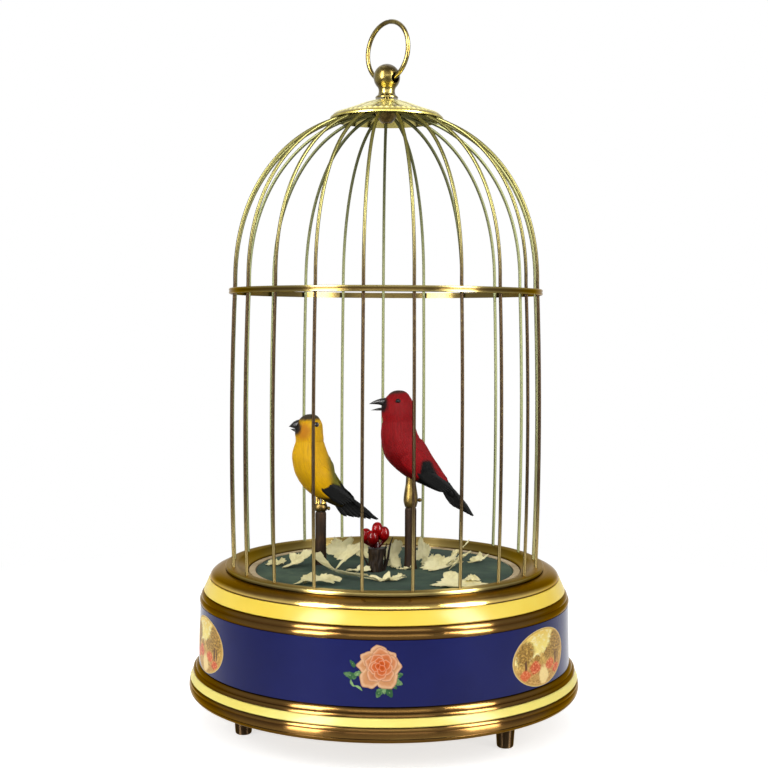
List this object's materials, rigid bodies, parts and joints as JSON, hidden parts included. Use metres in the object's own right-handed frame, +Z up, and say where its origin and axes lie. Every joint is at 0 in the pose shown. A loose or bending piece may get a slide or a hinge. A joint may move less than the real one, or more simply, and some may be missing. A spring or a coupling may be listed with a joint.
{
  "type": "singing bird automaton",
  "caption": "Domed brass wire cage with perched song birds on a round banded base that holds the clockwork, bellows and whistle.",
  "frame": {"origin": "centre of the three feet on the table", "axes": "+Z up through the cage to the hanging ring, -Y the front, +X to the right seen from the front"},
  "size_m": [0.158, 0.158, 0.2795],
  "materials": {
    "polished_brass": "polished",
    "aged_brass": "satin, darkened",
    "steel": "brushed",
    "blue_enamel": "gloss",
    "cream_enamel": "gloss",
    "green_floor": "matt",
    "pale_scraps": "matt",
    "dark_bark": "satin",
    "red_feather": "matt",
    "red_bird_cap": "matt",
    "yellow_feather": "matt",
    "yellow_bird_cap": "matt",
    "black_feather": "matt",
    "black_beak": "satin",
    "red_berry": "gloss",
    "bellows_wood": "plain",
    "bellows_leather": "soft"
  },
  "bodies": {
    "base": {"lower_moulding": "polished_brass", "lower_cream_band": "cream_enamel", "blue_drum_band": "blue_enamel", "upper_moulding": "polished_brass", "upper_cream_band": "cream_enamel", "bottom_plate": "aged_brass", "foot_1": "aged_brass", "foot_2": "aged_brass", "foot_3": "aged_brass", "floor_disc": "green_floor", "floor_border_ring": "pale_scraps", "cage_base_ring": "polished_brass", "cage_mid_ring": "polished_brass", "cage_bars_1": "polished_brass", "cage_bars_2": "polished_brass", "cage_bars_3": "polished_brass", "cage_bars_4": "polished_brass", "cage_bars_5": "polished_brass", "cage_bars_6": "polished_brass", "cage_bars_7": "polished_brass", "crown_cap": "polished_brass", "crown_hub": "aged_brass", "ring_finial": "polished_brass", "red_perch_post": "dark_bark", "red_perch_clip": "polished_brass", "red_bird_body": "red_feather", "yellow_perch_post": "dark_bark", "yellow_perch_clip": "polished_brass", "yellow_bird_body": "yellow_feather", "berry_stump": "dark_bark", "berry_cluster": "red_berry", "leaf_scraps": "pale_scraps", "movement_lower_plate": "polished_brass", "movement_upper_plate": "polished_brass", "bellows_box": "bellows_wood", "bellows_leather": "bellows_leather", "whistle_tube": "polished_brass"},
    "hanging_ring": {"hanging_ring": "polished_brass"},
    "red_head": {"red_bird_head": "red_bird_cap"},
    "red_beak": {"red_bird_lower_beak": "black_beak"},
    "red_tail": {"red_bird_tail": "black_feather"},
    "yellow_head": {"yellow_bird_head": "yellow_bird_cap"},
    "yellow_beak": {"yellow_bird_lower_beak": "black_beak"},
    "yellow_tail": {"yellow_bird_tail": "black_feather"},
    "barrel": {"spring_barrel": "polished_brass", "mainspring": "steel"},
    "winding": {"winding_arbor": "steel", "winding_key": "aged_brass"},
    "second_wheel": {"second_wheel": "polished_brass"},
    "third_wheel": {"third_wheel": "polished_brass"},
    "governor": {"governor_fly": "steel"},
    "cams": {"cam_stack": "polished_brass"},
    "bellows_board": {"bellows_board": "bellows_wood"},
    "whistle_piston": {"whistle_piston": "steel"},
    "red_lever": {"red_head_lever": "steel"},
    "yellow_lever": {"yellow_head_lever": "steel"},
    "red_spindle": {"red_head_spindle": "steel"},
    "yellow_spindle": {"yellow_head_spindle": "steel"},
    "stop_lever": {"stop_lever": "aged_brass"},
    "ratchet_click": {"ratchet_click": "steel"}
  },
  "joints": [
    {"name": "hanging_ring_swing", "type": "hinge", "parent": "base", "child": "hanging_ring", "pos_m": [0, 0, 0.25675], "axis": [0.6947, -0.7193, 0], "range_deg": [-110, 110]},
    {"name": "red_head_turn", "type": "hinge", "parent": "base", "child": "red_head", "pos_m": [0.0052, 0, 0.1225], "axis": [0, 0, 1], "range_deg": [-24, 24]},
    {"name": "red_beak_open", "type": "hinge", "parent": "red_head", "child": "red_beak", "pos_m": [0.0012, 0, 0.1274], "axis": [0, -1, 0], "range_deg": [-9, 4]},
    {"name": "red_tail_flick", "type": "hinge", "parent": "base", "child": "red_tail", "pos_m": [0.02287, 0, 0.09658], "axis": [0, 1, 0], "range_deg": [-8, 8]},
    {"name": "yellow_head_turn", "type": "hinge", "parent": "base", "child": "yellow_head", "pos_m": [-0.0309, 0.008, 0.1135], "axis": [0, 0, 1], "range_deg": [-24, 24]},
    {"name": "yellow_beak_open", "type": "hinge", "parent": "yellow_head", "child": "yellow_beak", "pos_m": [-0.0346, 0.008, 0.1174], "axis": [0, -1, 0], "range_deg": [0, 14]},
    {"name": "yellow_tail_flick", "type": "hinge", "parent": "base", "child": "yellow_tail", "pos_m": [-0.01835, 0.008, 0.08883], "axis": [0, 1, 0], "range_deg": [-8, 8]},
    {"name": "barrel_turn", "type": "hinge", "parent": "base", "child": "barrel", "pos_m": [-0.02, 0, 0.03], "axis": [0, 0, 1], "continuous": true},
    {"name": "winding_turn", "type": "hinge", "parent": "base", "child": "winding", "pos_m": [-0.02, 0, 0.03], "axis": [0, 0, 1], "continuous": true},
    {"name": "second_wheel_turn", "type": "hinge", "parent": "base", "child": "second_wheel", "pos_m": [-0.00393, 0.01915, 0.03], "axis": [0, 0, 1], "continuous": true},
    {"name": "third_wheel_turn", "type": "hinge", "parent": "base", "child": "third_wheel", "pos_m": [0.0138, 0.01603, 0.03], "axis": [0, 0, 1], "continuous": true},
    {"name": "governor_spin", "type": "hinge", "parent": "base", "child": "governor", "pos_m": [0.02656, 0.02067, 0.03], "axis": [0, 0, 1], "continuous": true},
    {"name": "cam_turn", "type": "hinge", "parent": "base", "child": "cams", "pos_m": [0.00765, -0.01936, 0.03], "axis": [0, 0, 1], "continuous": true},
    {"name": "bellows_pump", "type": "hinge", "parent": "base", "child": "bellows_board", "pos_m": [0.049, 0.016, 0.027], "axis": [1, 0, 0], "range_deg": [-3, 7.5], "deforming": ["bellows_leather"]},
    {"name": "whistle_slide", "type": "slide", "parent": "base", "child": "whistle_piston", "axis": [1, 0, 0], "range_m": [-0.006, 0.009]},
    {"name": "red_lever_swing", "type": "hinge", "parent": "base", "child": "red_lever", "pos_m": [0.0355, 0, 0.0478], "axis": [0, 0, 1], "range_deg": [-6, 6]},
    {"name": "yellow_lever_swing", "type": "hinge", "parent": "base", "child": "yellow_lever", "pos_m": [-0.0263, -0.017, 0.0512], "axis": [0, 0, 1], "range_deg": [-6, 6]},
    {"name": "red_spindle_turn", "type": "hinge", "parent": "base", "child": "red_spindle", "pos_m": [0.0105, 0, 0.07], "axis": [0, 0, 1], "range_deg": [-24, 24]},
    {"name": "yellow_spindle_turn", "type": "hinge", "parent": "base", "child": "yellow_spindle", "pos_m": [-0.0263, 0.008, 0.07], "axis": [0, 0, 1], "range_deg": [-24, 24]},
    {"name": "stop_lever_swing", "type": "hinge", "parent": "base", "child": "stop_lever", "pos_m": [0.03621, 0.03467, 0.0138], "axis": [0, 0, -1], "range_deg": [0, 8]},
    {"name": "ratchet_click_lift", "type": "hinge", "parent": "base", "child": "ratchet_click", "pos_m": [-0.032, 0.006, 0.0185], "axis": [0, 0, -1], "range_deg": [0, 12]}
  ],
  "couplings": [
    {"joint": "second_wheel_turn", "follows": "barrel_turn", "ratio": -4},
    {"joint": "third_wheel_turn", "follows": "barrel_turn", "ratio": 12},
    {"joint": "governor_spin", "follows": "barrel_turn", "ratio": -30},
    {"joint": "cam_turn", "follows": "barrel_turn", "ratio": -1.4545},
    {"joint": "red_spindle_turn", "follows": "red_lever_swing", "ratio": -4},
    {"joint": "red_head_turn", "follows": "red_lever_swing", "ratio": -4},
    {"joint": "yellow_spindle_turn", "follows": "yellow_lever_swing", "ratio": -4},
    {"joint": "yellow_head_turn", "follows": "yellow_lever_swing", "ratio": -4},
    {"joint": "red_tail_flick", "follows": "red_beak_open", "ratio": 0.5},
    {"joint": "yellow_tail_flick", "follows": "yellow_beak_open", "ratio": 0.5}
  ]
}
